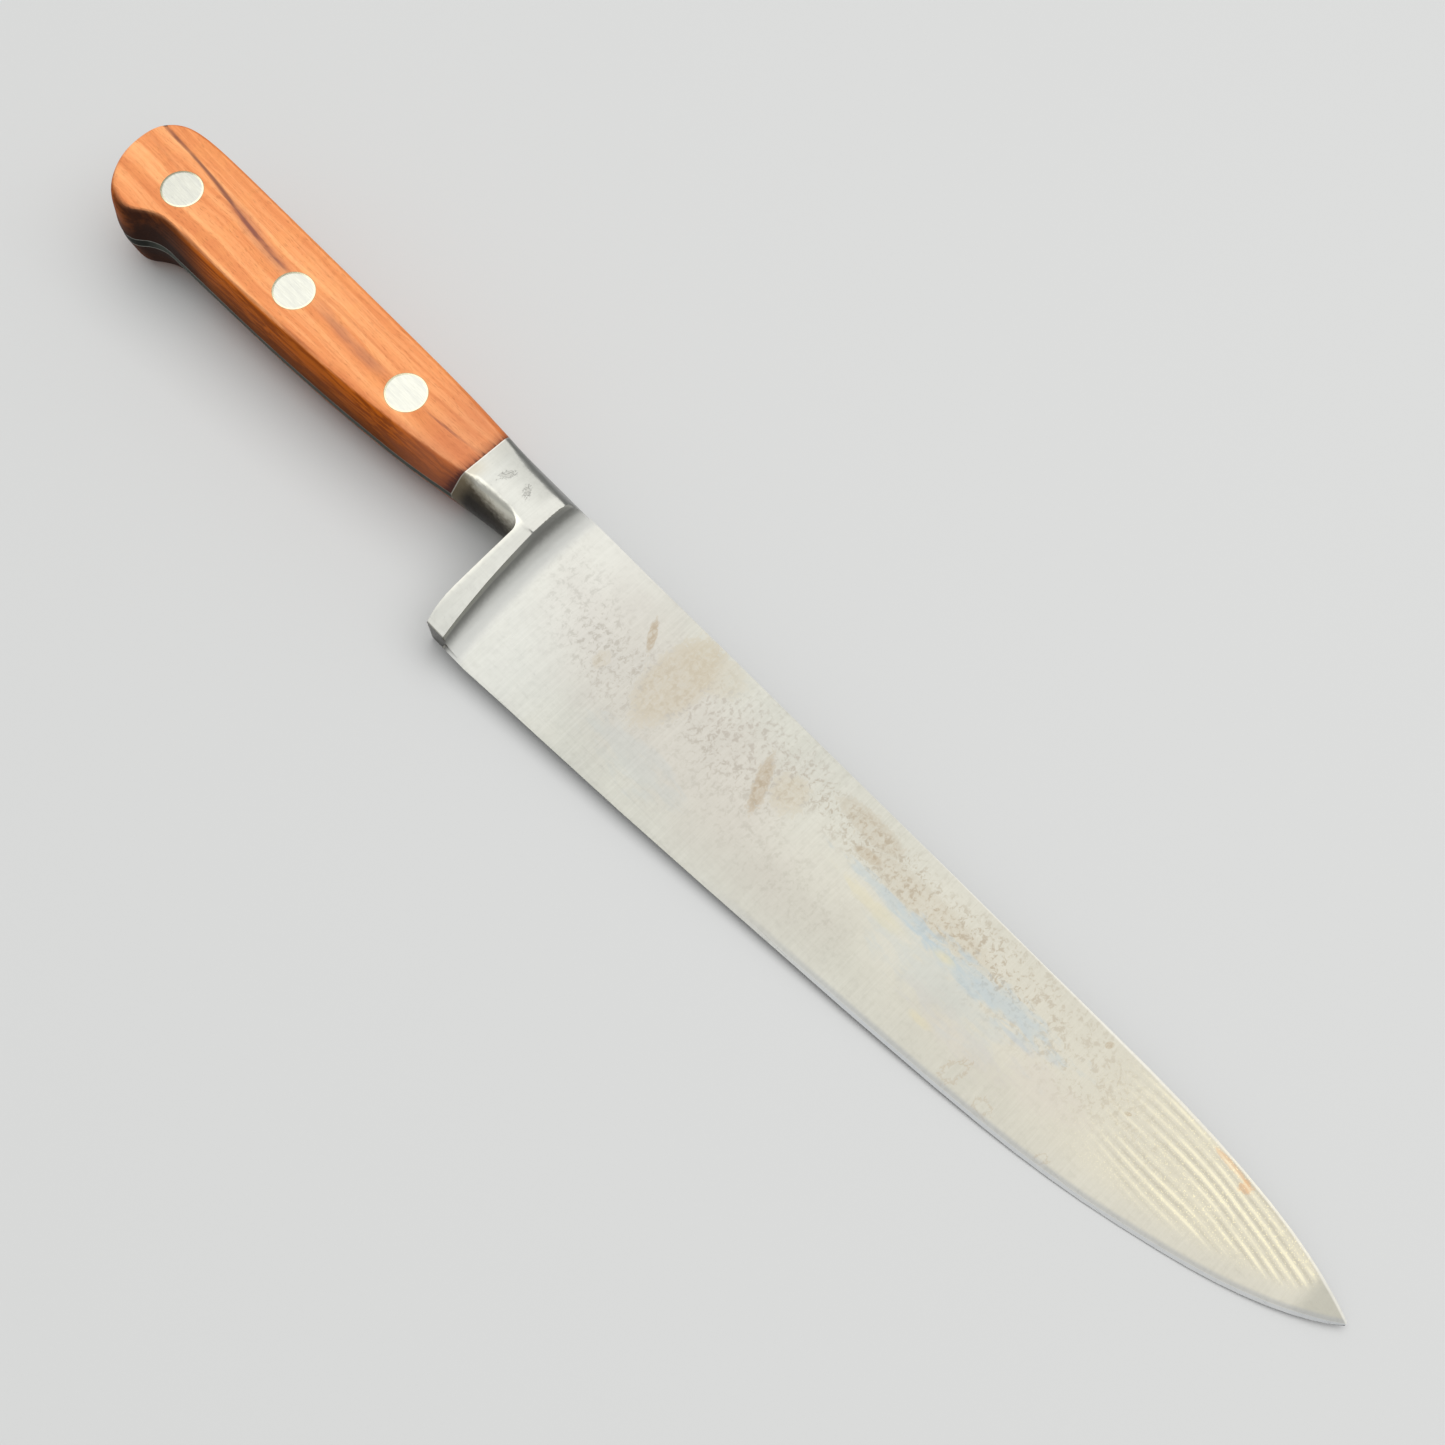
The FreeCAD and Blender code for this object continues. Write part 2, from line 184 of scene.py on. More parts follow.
    def patch(self, centre, radii, turn=0.0, ragged=0.5, soft=0.3, grain=None):
        """A blot round a centre in X and Y: 1 inside, 0 outside, its edge made ragged by the grain."""
        node = self.nodes.new("ShaderNodeMapping")
        node.vector_type = "TEXTURE"
        self.put(node.inputs["Vector"], self.place)
        node.inputs["Location"].default_value = (*centre, 0)
        node.inputs["Rotation"].default_value = (0, 0, math.radians(turn))
        endless = 1e6
        node.inputs["Scale"].default_value = (*radii, endless)
        reach = self.vector("LENGTH", node.outputs[0])
        if grain is not None:
            reach = self.math("MULTIPLY_ADD", self.math("SUBTRACT", grain, 0.5), 2 * ragged, reach)
        return self.steps(reach, 1 - soft, 1 + soft, 1.0, 0.0)

    def ring(self, centre, radii, turn, width, grain):
        """A thin uneven outline round a centre: 1 on the line, 0 off it."""
        ragged, soft = 1.6, 0.10
        inside = self.patch(centre, [radius * (1 - width) for radius in radii], turn, ragged, soft, grain)
        outside = self.patch(centre, [radius * (1 + width) for radius in radii], turn, ragged, soft, grain)
        return self.math("SUBTRACT", outside, inside, clamp=True)

    def facing(self):
        """How far the surface faces the spine (+1) or the edge (-1)."""
        split = self.nodes.new("ShaderNodeSeparateXYZ")
        self.links.new(self.nodes.new("ShaderNodeNewGeometry").outputs["Normal"], split.inputs[0])
        return split.outputs["Y"]

    def bumps(self, *heights):
        """Stacked bumps, each a (height socket, depth in millimetres, strength)."""
        normal = None
        for height, depth, strength in heights:
            node = self.nodes.new("ShaderNodeBump")
            self.put(node.inputs["Height"], height)
            node.inputs["Distance"].default_value = depth * MM
            node.inputs["Strength"].default_value = strength
            if normal is not None:
                self.links.new(normal, node.inputs["Normal"])
            normal = node.outputs[0]
        return normal

    def finish(self, roughness, normal, **others):
        """Wires the shader and returns the material."""
        self.put(self.shader.inputs["Base Color"], self.colour)
        self.put(self.shader.inputs["Roughness"], roughness)
        self.put(self.shader.inputs["Normal"], normal)
        for key, value in others.items():
            self.put(self.shader.inputs[key.replace("_", " ")], value)
        return self.material


def rivet_axis(place):
    """Where a rivet's axis stands, in millimetres, from its box."""
    low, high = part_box(f"{place}_rivet_male")
    return ((low.x + high.x) / 2 / MM, (low.y + high.y) / 2 / MM)


def dress(node, material):
    """Gives a CAD node its finish."""
    slots = NODES[node].data.materials
    slots.clear()
    slots.append(material)


# ---------------------------------------------------------------- the knife's lines, in millimetres

WOOD_END = -67.75
JOINT_LEAN = 2.0 / 8.7
GUARD_BACK = -50.5
BLADE_ROOT = -43.0
COVE_WALL = -46.8
MID_PLANE = 10.0
WAVE_PITCH = 2.15
WAVE_SWAY = 0.4
SWAY_IN_X = 7
SWAY_IN_Y = 5
WAVE_DEPTH = 0.035
# The spine and the edge are (X, Y) points, the bolster's front (Y, X) points.
SPINE_LINE = [(-190, 22.08), (120, 22.08), (143, 21.4), (157, 20.2), (169, 18.3), (178, 15.9),
              (186, 13.0)]
EDGE_LINE = [(-37, -22.08), (23, -18.4), (83, -13.8), (107, -11.5), (127, -8.6), (143, -5.1), (157, -1.3),
             (169, 3.1), (178, 7.6), (186, 12.8)]
BOLSTER_FRONT = [(-24, -42.9), (-10, -45.3), (1, -46.4), (12, -46.9), (23, -46.4)]


# ---------------------------------------------------------------- the forging's mesh

CRISP_ANGLE = math.radians(30)
SHARP_ANGLE = math.radians(32)


def smooth_step(value, low, high):
    """0 below low, 1 above high and smooth between them; low may be the larger of the two."""
    share = np.clip((value - low) / (high - low), 0.0, 1.0)
    return share * share * (3.0 - 2.0 * share)


def height_on(line, place):
    """The height of a line of (place, height) points, straight between them."""
    return np.interp(place, *zip(*line))


def drop_fins(mesh):
    """Deletes pairs of faces that lie back to back on the same three corners."""
    seen = {}
    for face in mesh.faces:
        seen.setdefault(frozenset(face.verts), []).append(face)
    fins = [face for faces in seen.values() if len(faces) > 1 for face in faces]
    bmesh.ops.delete(mesh, geom=fins, context="FACES_ONLY")
    bmesh.ops.delete(mesh, geom=[e for e in mesh.edges if not e.link_faces], context="EDGES")


def refine(mesh, inside, longest, rounds):
    """Splits the edges that are longer than longest, in rounds, wherever inside(x, y, z) holds."""
    for _ in range(rounds):
        marked = {v for v in mesh.verts if inside(*(v.co / MM))}
        edges = [e for e in mesh.edges if e.calc_length() > longest * MM and marked.issuperset(e.verts)]
        bmesh.ops.subdivide_edges(mesh, edges=edges, cuts=1)
        bmesh.ops.triangulate(mesh, faces=[f for f in mesh.faces if len(f.verts) > 3])
        drop_fins(mesh)


def in_grip(x, y, z):
    """Whether a place is on the ferrule or guard, behind the thin root of the blade."""
    back, front, root_half = -69.9, -44.6, 2.4
    return back < x < front and (x < COVE_WALL or abs(z - MID_PLANE) > root_half)


def in_waves(x, y, z):
    """Whether a place is on one of the blade's sides near the tip, clear of its spine and edge."""
    back, front, above_edge, under_spine = 112, 177, 1.5, 0.3
    low, high = height_on(EDGE_LINE, x) + above_edge, height_on(SPINE_LINE, x) - under_spine
    return back < x < front and low < y < high


def joint_gap(x, z):
    """How far a place lies in front of the leaning joint between scale and ferrule."""
    return x - WOOD_END + JOINT_LEAN * (MID_PLANE - np.abs(z - MID_PLANE))


def grip_softness(x, y, z):
    """How freely the polishing wheel rounded the forging: fully on the ferrule, hardly on the guard."""
    on_top = smooth_step(y, 6.0, 9.5)
    behind = smooth_step(x, -52.5, -54.5)
    clear_of_wood = smooth_step(joint_gap(x, z), 0.2, 2.5)
    front = height_on(BOLSTER_FRONT, y)
    at_front = 0.12
    elsewhere = 0.012
    clear_of_front = at_front + (1 - at_front) * smooth_step(front - x, 0.3, 1.6)
    not_hollow = x < np.where(np.abs(z - MID_PLANE) > 2.6, front + 0.4, COVE_WALL)
    rounded = elsewhere + (1 - elsewhere) * np.maximum(on_top, behind)
    return rounded * clear_of_wood * clear_of_front * not_hollow


def creased(vertex):
    """How crisp a vertex's edges stay: wholly on the guard's edges, less and less above y = 8 mm."""
    if vertex.co.x < -52.6 * MM:
        return 0.0
    if all(edge.calc_face_angle(0.0) < CRISP_ANGLE for edge in vertex.link_edges):
        return 0.0
    return smooth_step(vertex.co.y / MM, 14.0, 8.0)


def relax(mesh, softness, rounds):
    """Draws each vertex toward the middle of its neighbours, as far as its softness lets it."""
    mesh.verts.index_update()
    places = np.array([v.co for v in mesh.verts]) / MM
    kept = np.array([creased(v) for v in mesh.verts])
    pairs = np.array([[v.index for v in e.verts] for e in mesh.edges])
    count = np.bincount(pairs.ravel(), minlength=len(places))[:, None]
    pull = 0.5 * (softness(*places.T) * (1.0 - kept))[:, None]
    for _ in range(rounds):
        total = np.zeros_like(places)
        np.add.at(total, pairs[:, 0], places[pairs[:, 1]])
        np.add.at(total, pairs[:, 1], places[pairs[:, 0]])
        places += pull * (total / count - places)
    for vertex, place in zip(mesh.verts, places):
        vertex.co = Vector(place) * MM


def grind_waves(mesh):
    """Sinks the shallow waves that the grinder left side by side with the spine near the tip."""
    for vertex in mesh.verts:
        x, y, z = vertex.co / MM
        spine = height_on(SPINE_LINE, x)
        edge = height_on(EDGE_LINE, x)
        shown = smooth_step(x, 118, 150) * smooth_step(x, 179, 173)
        shown *= smooth_step(y - edge, 2.0, 6.0) * smooth_step(spine - y, 0.2, 0.8)
        sway = WAVE_SWAY * math.sin(x / SWAY_IN_X + y / SWAY_IN_Y)
        phase = (y - spine + sway) * 2 * math.pi / WAVE_PITCH
        depth = WAVE_DEPTH * shown * (0.5 - 0.5 * math.sin(phase))
        deepest = abs(z - MID_PLANE) * 0.3
        vertex.co.z -= math.copysign(min(depth, deepest), z - MID_PLANE) * MM


def forged_blade():
    """The forging as polished: evenly divided, rounded over the ferrule, and waved near the tip."""
    source = NODES["blade_forging"].data.copy()
    if "custom_normal" in source.attributes:
        source.attributes.remove(source.attributes["custom_normal"])
    mesh = bmesh.new()
    mesh.from_mesh(source)
    bpy.data.meshes.remove(source)
    bmesh.ops.remove_doubles(mesh, verts=mesh.verts, dist=0.0005 * MM)
    bmesh.ops.dissolve_degenerate(mesh, edges=mesh.edges, dist=0.01 * MM)
    refine(mesh, in_grip, longest=0.75, rounds=5)
    relax(mesh, grip_softness, rounds=40)
    refine(mesh, in_waves, longest=0.7, rounds=6)
    grind_waves(mesh)
    bmesh.ops.recalc_face_normals(mesh, faces=mesh.faces)
    data = bpy.data.meshes.new("forged_blade")
    mesh.to_mesh(data)
    mesh.free()
    data.shade_smooth()
    data.set_sharp_from_angle(angle=SHARP_ANGLE)
    piece = bpy.data.objects.new("forged_blade", data)
    bpy.context.scene.collection.objects.link(piece)
    data.materials.append(steel())
    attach(piece, "root")
    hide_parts("blade_forging")


# ---------------------------------------------------------------- steel

CREAM = (0.385, 0.38, 0.335)
GREY_STEEL = (0.335, 0.335, 0.30)
TAN = (0.27, 0.215, 0.145)
PALE_TAN = (0.335, 0.295, 0.225)
ROSE = (0.37, 0.33, 0.295)
BLUE = (0.27, 0.32, 0.345)
GOLD = (0.42, 0.375, 0.24)
RUST = (0.42, 0.19, 0.07)


class Steel(Surface):
    """The knife's steel, with the textures and distances that several of its marks share."""

    def __init__(self):
        super().__init__("forged_steel")
        self.normal_y = self.facing()
        self.cloud = self.noise(self.place, 0.045, 5, 0.55)
        self.speck = self.noise(self.place, 0.9, 5, 0.6)
        self.blotch = self.noise(self.stretched(0.85, 0.70, 0.6), 1.0, 8, 0.70, 0.5)
        self.lines = self.noise(self.stretched(7.0, 0.06, 0.3), 1.0, 5, 0.7)
        self.mottled = self.steps(self.blotch, 0.50, 0.60)
        self.below_spine = self.math("SUBTRACT", self.y, self.curve(self.x, SPINE_LINE))
        self.over_edge = self.math("SUBTRACT", self.y, self.curve(self.x, EDGE_LINE))
        self.ahead = self.math("SUBTRACT", self.x, self.curve(self.y, BOLSTER_FRONT))
        self.half_side = self.math("ABSOLUTE", self.math("SUBTRACT", self.z, MID_PLANE))
        self.on_blade = self.steps(self.x, BLADE_ROOT - 0.5, BLADE_ROOT + 1.5)
        self.on_tang = self.steps(self.x, WOOD_END - 2.3, WOOD_END - 1.9, 1.0, 0.0)


def bare_steel(s):
    """Clouded cream and grey, with lines up the blade from grinding and along it from use."""
    s.colour = s.ramp(s.cloud, [(0.32, GREY_STEEL), (0.62, CREAM)])
    wide_lines = s.noise(s.stretched(1.6, 0.03, 0.1), 1.0, 5, 0.65)
    drawn = s.noise(s.stretched(0.05, 2.2, 0.5, turn=(0, 0, 0.03)), 1.0, 5, 0.65)
    s.paint(s.steps(wide_lines, 0.42, 0.62), (0.48, 0.475, 0.43), 0.20)
    s.paint(s.steps(s.lines, 0.35, 0.6, 1.0, 0.0), (0.24, 0.235, 0.21), 0.18)
    s.paint(s.steps(drawn, 0.50, 0.68), (0.25, 0.245, 0.215), 0.14)
    s.paint(s.steps(s.speck, 0.5, 0.7), (0.25, 0.24, 0.20), 0.10)


def casts(s):
    """Broad casts: warm to the front, a painted brighter reflection at the heel, a painted darker
    reflection at the belly, rosy at the middle.
    """
    s.paint(s.patch((130, 10), (85, 22), 4, 0.3, 0.7, s.cloud), (0.405, 0.370, 0.295), 0.50)
    # Painted reflection: the steel brightened toward the heel.
    s.paint(s.steps(s.x, -5, -35), (0.60, 0.60, 0.57), 0.30)
    # Painted reflection: a broad darker patch at the belly.
    s.paint(s.patch((48, -9), (42, 8), 4, 0.9, 0.7, s.cloud), (0.27, 0.265, 0.225), 0.30)
    s.paint(s.patch((8, 2), (48, 15), -14, 0.9, 0.6, s.cloud), ROSE, 0.35)


def mottle(s):
    """Fine mottle, strongest in the upper half: (centre, half sizes, turn in degrees, strength, tint)."""
    for centre, radii, turn, strength, tint in (
        ((18, 11), (26, 10), 0, 0.40, (0.24, 0.205, 0.17)),
        ((30, -2), (34, 8), -6, 0.20, (0.25, 0.235, 0.19)),
        ((-15, 2), (13, 7), -20, 0.30, (0.25, 0.22, 0.18)),
        ((-30, 7), (14, 8), -30, 0.24, (0.24, 0.23, 0.20)),
        ((66, 14), (30, 5.5), 1, 0.46, (0.22, 0.17, 0.11)),
        ((104, 13), (30, 8), -3, 0.30, (0.26, 0.21, 0.15)),
    ):
        zone = s.patch(centre, radii, turn, 0.7, 0.5, s.cloud)
        s.paint(s.times(zone, s.mottled), tint, strength)


def stains(s):
    """Stains left by food acids: (centre, half sizes, turn in degrees, ragged edge, strength, tint)."""
    broken = s.math("MULTIPLY_ADD", s.lines, 0.4, s.times(s.blotch, 0.6))
    broken = s.steps(broken, 0.40, 0.56, 0.45, 1.15)
    for centre, radii, turn, ragged, strength, tint in (
        ((-2.5, 10), (6.2, 13), 0, 0.9, 0.62, PALE_TAN),
        ((1.5, 17), (8, 5), 10, 1.1, 0.40, PALE_TAN),
        ((-13.8, 13), (3.9, 1.0), -57, 0.9, 0.62, TAN),
        ((26.8, 6.5), (6.6, 1.7), -66, 1.3, 0.60, TAN),
        ((32.5, 9.5), (4.2, 4.2), 0, 1.6, 0.55, PALE_TAN),
        ((-17.5, 1), (1.6, 2.4), 0, 1.4, 0.40, PALE_TAN),
        ((50, 17), (9, 2.6), 0, 1.2, 0.35, TAN),
        ((70, 13), (17, 3.2), 0, 1.6, 0.28, TAN),
        ((53.5, 12), (3.4, 1.2), 10, 1.0, 0.45, TAN),
        ((116.2, 19.6), (1.0, 0.7), 60, 0.5, 0.55, TAN),
        ((128, 12), (0.8, 0.4), 25, 0.3, 0.7, TAN),
    ):
        stain = s.patch(centre, radii, turn, ragged, 0.14, s.blotch)
        s.paint(s.times(stain, broken), tint, strength)


def films(s):
    """Oxide films, drawn out along the blade: (centre, half sizes, turn in degrees, strength, tint)."""
    streaky = s.noise(s.stretched(0.16, 0.55, 0.4), 1.0, 6, 0.65, 0.4)
    for centre, radii, turn, strength, tint in (
        ((66, 8.6), (14, 1.3), 1, 0.45, BLUE),
        ((92, 9.5), (16, 2.6), 2, 0.52, BLUE),
        ((84, 4), (16, 6), -5, 0.24, BLUE),
        ((4, -9), (10, 4), 0, 0.16, BLUE),
        ((62, 5.2), (9, 1.3), 0, 0.34, GOLD),
        ((80, 8), (2.2, 0.9), 0, 0.5, GOLD),
        ((85, -5), (2.5, 0.9), 0, 0.4, GOLD),
        ((112, 3), (9, 4), 0, 0.25, ROSE),
        ((92, -2), (12, 3), 0, 0.25, ROSE),
    ):
        s.paint(s.patch(centre, radii, turn, 2.2, 0.55, streaky), tint, strength)


def drops_and_rust(s):
    """Dried drops, each with a thin dark outline, and two rust marks under the spine near the tip."""
    for centre, radii, turn in (
        ((97, -7.6), (1.6, 2.9), -20),
        ((121.3, -7.4), (0.9, 1.4), -35),
        ((106, -8.6), (1.7, 1.7), 0),
    ):
        s.paint(s.ring(centre, radii, turn, 0.11, s.blotch), (0.26, 0.19, 0.12), 0.34)
    s.paint(s.patch((149.5, 19.6), (4.6, 0.7), -4, 0.8, 0.3, s.speck), RUST, 0.6)
    s.paint(s.patch((154.3, 18.4), (1.5, 1.2), 30, 1.2, 0.3, s.speck), RUST, 0.75)


def tip_waves(s):
    """The grinder's waves under a golden patina, with painted highlights on their crests, painted shade in
    their troughs and painted glints, and the grey tip. Returns the waves' height.
    """
    sway = s.math("SINE", s.add(s.times(s.x, 1 / SWAY_IN_X), s.times(s.y, 1 / SWAY_IN_Y)))
    wave = s.math("MULTIPLY_ADD", sway, WAVE_SWAY, s.below_spine)
    wave = s.math("SINE", s.times(wave, 2 * math.pi / WAVE_PITCH))
    here = s.times(s.steps(s.x, 110, 152), s.steps(s.x, 173, 178.5, 1.0, 0.0))
    here = s.times(here, s.steps(s.over_edge, 3.0, 9.0))
    uneven = s.steps(s.noise(s.stretched(0.05, 0.25, 0.2), 1.0, 3), 0.35, 0.60, 0.35, 1.0)
    wave = s.times(s.times(wave, here), uneven)
    painted_glints = s.times(s.steps(s.noise(s.place, 3.2, 2, 0.5), 0.58, 0.68), here)
    s.paint(here, (0.44, 0.40, 0.29), 0.35)
    # Painted highlight on the wave crests, golden like the patina under it.
    s.paint(s.steps(wave, 0.1, 0.9), (0.60, 0.555, 0.40), 0.55)
    # Painted shade in the wave troughs.
    s.paint(s.steps(wave, -0.1, -0.8), (0.255, 0.235, 0.19), 0.42)
    # Painted glints scattered over the waves.
    s.paint(painted_glints, (0.70, 0.63, 0.38), 0.45)
    s.paint(s.steps(s.x, 173.5, 178.5), (0.235, 0.23, 0.195), 0.55)
    return wave


def edge_and_arris(s):
    """A bluish bevel under a dull line, and a painted highlight along the spine's arris. Returns the bevel.
    """
    forward = s.times(s.steps(s.x, 25, 75), s.on_blade)
    bevel = s.times(s.steps(s.over_edge, 0.60, 0.90, 1.0, 0.0), forward)
    s.paint(bevel, (0.25, 0.26, 0.275), 0.75)
    dull = s.times(s.steps(s.over_edge, 0.65, 0.9), s.steps(s.over_edge, 1.2, 2.3, 1.0, 0.0))
    s.paint(s.times(dull, forward), (0.20, 0.21, 0.225), 0.5)
    # Painted highlight along the spine's arris.
    s.paint(s.times(s.steps(s.below_spine, -0.75, -0.35), s.on_blade), (0.58, 0.57, 0.53), 0.45)
    return bevel


def cove(s):
    """The hollow in front of the bolster: painted shade dark at its wall, and a painted pale grey
    reflection toward the blade. Returns the hollow.
    """
    ragged_reach = s.math("MULTIPLY_ADD", s.speck, 0.5, s.ahead)
    wall = s.steps(s.ahead, -0.1, 0.15)
    hollow = s.times(s.steps(ragged_reach, 3.6, 6.5, 1.0, 0.0), wall)
    # Painted reflection: pale grey over the hollow.
    s.paint(hollow, (0.52, 0.52, 0.49), 0.7)
    # Painted shade: a dark band along the wall.
    s.paint(s.times(s.steps(ragged_reach, 0.3, 2.1, 1.0, 0.0), wall), (0.11, 0.11, 0.10), 0.85)
    return hollow


def ferrule(s):
    """Grey toward the spine, a painted highlight where it turns under, then brown oxide and a near-black
    painted reflection on the belly, with painted shade low down and on the walls that face the spine.
    Returns the dark belly.
    """
    on_ferrule = s.steps(s.x, GUARD_BACK - 1.0, GUARD_BACK + 1.5, 1.0, 0.0)
    low = s.steps(s.math("MULTIPLY_ADD", s.speck, 1.2, s.y), 8.5, 5.6)
    low = s.times(low, s.steps(s.normal_y, -0.15, -0.45))
    belly = s.times(low, on_ferrule)
    level = s.steps(s.math("ABSOLUTE", s.normal_y), 0.2, 0.5, 1.0, 0.0)
    face = s.times(level, s.steps(s.ahead, -0.5, -0.1, 1.0, 0.0))
    high = s.steps(s.math("MULTIPLY_ADD", s.cloud, 4.0, s.y), 13.0, 20.5)
    s.paint(s.times(s.times(face, on_ferrule), high), (0.235, 0.235, 0.215), 0.45)
    # Painted highlight where the ferrule turns under.
    painted_turn_highlight = s.times(s.steps(s.y, 9.4, 8.3), s.steps(s.normal_y, -0.08, -0.2))
    s.paint(s.times(painted_turn_highlight, on_ferrule), (0.78, 0.76, 0.66), 0.7)
    # On the belly, brown oxide under a near-black painted reflection of the dark table.
    s.paint(s.steps(belly, 0.0, 0.30), (0.26, 0.22, 0.15), 0.50)
    s.paint(s.steps(belly, 0.10, 0.80), (0.052, 0.037, 0.018), 0.94)
    # Painted shade, deepest low on the belly by the tang.
    painted_low_shade = s.times(belly, s.steps(s.math("MULTIPLY_ADD", s.speck, 3.0, s.half_side), 9.5, 5.0))
    s.paint(painted_low_shade, (0.012, 0.009, 0.006), 0.9)
    # Painted shade on the surfaces behind the blade that face the spine.
    behind = s.steps(s.x, BLADE_ROOT - 4, BLADE_ROOT - 2, 1.0, 0.0)
    s.paint(s.times(s.steps(s.normal_y, 0.25, 0.85), behind), (0.12, 0.125, 0.12), 0.8)
    return belly


def beside_the_wood(s):
    """The ferrule's rear end: a tan stain, and a painted highlight along the joint."""
    lean = s.times(s.math("SUBTRACT", MID_PLANE, s.half_side), JOINT_LEAN)
    ahead_of_wood = s.add(s.math("SUBTRACT", s.x, WOOD_END), lean)
    stained = s.steps(s.math("MULTIPLY_ADD", s.cloud, 4.0, ahead_of_wood), 2.5, 6.5, 1.0, 0.0)
    s.paint(s.times(stained, s.steps(s.y, 9.0, 13.5, 1.0, 0.15)), (0.36, 0.29, 0.18), 0.38)
    # Painted highlight: a bright line along the edge at the joint.
    s.paint(s.steps(ahead_of_wood, 0.12, 0.32, 1.0, 0.0), (0.62, 0.60, 0.54), 0.6)


def guard_foot(s):
    """Painted shade: the dark underside of the guard, and the black corner where the blade starts beside
    it.
    """
    # Painted shade on the guard's underside.
    foot = s.times(s.steps(s.normal_y, -0.6, -0.9), s.steps(s.x, GUARD_BACK + 1.5, GUARD_BACK + 2.5))
    foot = s.times(foot, s.steps(s.x, BLADE_ROOT, BLADE_ROOT + 1, 1.0, 0.0))
    s.paint(foot, (0.10, 0.09, 0.075), 0.85)
    # Painted shade in the corner where the blade starts.
    stub = s.times(s.steps(s.y, -20.9, -21.3), s.steps(s.x, BLADE_ROOT + 0.1, BLADE_ROOT - 0.5))
    s.paint(stub, (0.06, 0.055, 0.045), 0.8)


def bolster_pits(s):
    """Pits on the bolster, and two faint worn marks among them. Returns where they are."""
    pits = s.steps(s.noise(s.place, 2.2, 3, 0.5), 0.70, 0.78)
    pits = s.times(pits, s.steps(s.x, BLADE_ROOT - 4, BLADE_ROOT - 3, 1.0, 0.0))
    fine = s.noise(s.stretched(2.6, 1.3, 1.3, turn=(0, 0, 0.9)), 1.0, 4, 0.7)
    for centre, radii, turn in (((-60.8, 13.6), (1.5, 0.7), 60), ((-54.8, 14.0), (1.2, 0.6), -50)):
        pits = s.math("MAXIMUM", pits, s.patch(centre, radii, turn, 3.2, 0.25, fine))
    s.paint(pits, (0.17, 0.16, 0.14), 0.22)
    return pits


def tang_strip(s):
    """The tang between the scales, almost black from tarnish and painted shade, darkest at the beak, with a
    painted highlight along each joint.
    """
    # Tarnish and painted shade make the tang's edge almost black.
    s.paint(s.on_tang, (0.070, 0.080, 0.066))
    # Painted shadow over dark patina at the beak, nearly black.
    at_beak = s.times(s.steps(s.x, -148, -155), s.steps(s.y, -3, -6))
    s.paint(s.times(at_beak, s.on_tang), (0.010, 0.010, 0.008), 0.8)
    # Painted highlight: a bright line along each edge at the joints.
    s.paint(s.times(s.steps(s.half_side, 1.0, 1.2), s.on_tang), (0.42, 0.42, 0.38), 0.7)


def steel():
    """Satin carbon steel: grind marks up the blade, kitchen patina, painted dark shade in the recesses at
    the bolster, and painted highlights and reflections.
    """
    s = Steel()
    bare_steel(s)
    casts(s)
    mottle(s)
    stains(s)
    films(s)
    drops_and_rust(s)
    wave = tip_waves(s)
    bevel = edge_and_arris(s)
    hollow = cove(s)
    belly = ferrule(s)
    beside_the_wood(s)
    guard_foot(s)
    pits = bolster_pits(s)
    tang_strip(s)

    rough = s.math("MULTIPLY_ADD", s.lines, 0.18, 0.22)
    rough = s.math("MULTIPLY_ADD", s.mottled, 0.06, rough)
    rough = s.math("MULTIPLY_ADD", belly, 0.12, rough)
    rough = s.math("MULTIPLY_ADD", bevel, -0.10, rough)
    rough = s.math("MULTIPLY_ADD", s.on_tang, 0.2, rough)
    scratch = s.noise(s.stretched(0.035, 3.2, 0.5, turn=(0, 0, 0.05)), 1.0, 3, 0.5)
    scratch = s.steps(scratch, 0.62, 0.72)
    marks = s.times(s.lines, s.steps(s.x, GUARD_BACK, BLADE_ROOT, 0.35, 1.0))
    bumps = s.bumps((wave, 0.03, 0.6), (marks, 0.02, 0.30), (scratch, 0.015, 0.5), (s.speck, 0.03, 0.12),
                    (s.times(pits, -1.0), 0.05, 0.6))
    # The hollow is made almost non-metallic, so its painted pale grey, a stand-in for the reflection there,
    # shows as plain colour.
    metal = s.math("MULTIPLY_ADD", hollow, -0.9, 1.0)
    return s.finish(rough, bumps, Metallic=metal)


# ---------------------------------------------------------------- wood

MAIN_VEIN = [(-186, 15.6), (-178, 15.4), (-170, 15.0), (-160, 14.1), (-150, 12.8), (-142, 11.8),
             (-134, 11.3), (-122, 11.0), (-108, 9.8), (-96, 10.2), (-86, 10.8), (-78, 11.5), (-66, 13.2)]
BELLY_STREAK = [(-186, 3.0), (-165, 1.5), (-150, 0.2), (-130, 0.9), (-110, 2.2), (-90, 4.2), (-66, 7.6)]
UPPER_STREAK = [(-186, 11.8), (-172, 10.6), (-150, 9.6), (-134, 10.0), (-120, 13.4), (-100, 13.6),
                (-80, 15.0), (-66, 15.8)]
PALE_WOOD = (0.96, 0.44, 0.185)
MID_WOOD = (0.78, 0.285, 0.105)
RED_WOOD = (0.50, 0.140, 0.048)
DARK_WOOD = (0.20, 0.048, 0.016)
PURPLE = (0.135, 0.050, 0.045)
CHAR = (0.022, 0.009, 0.006)
FACE_HEIGHT = 20.0


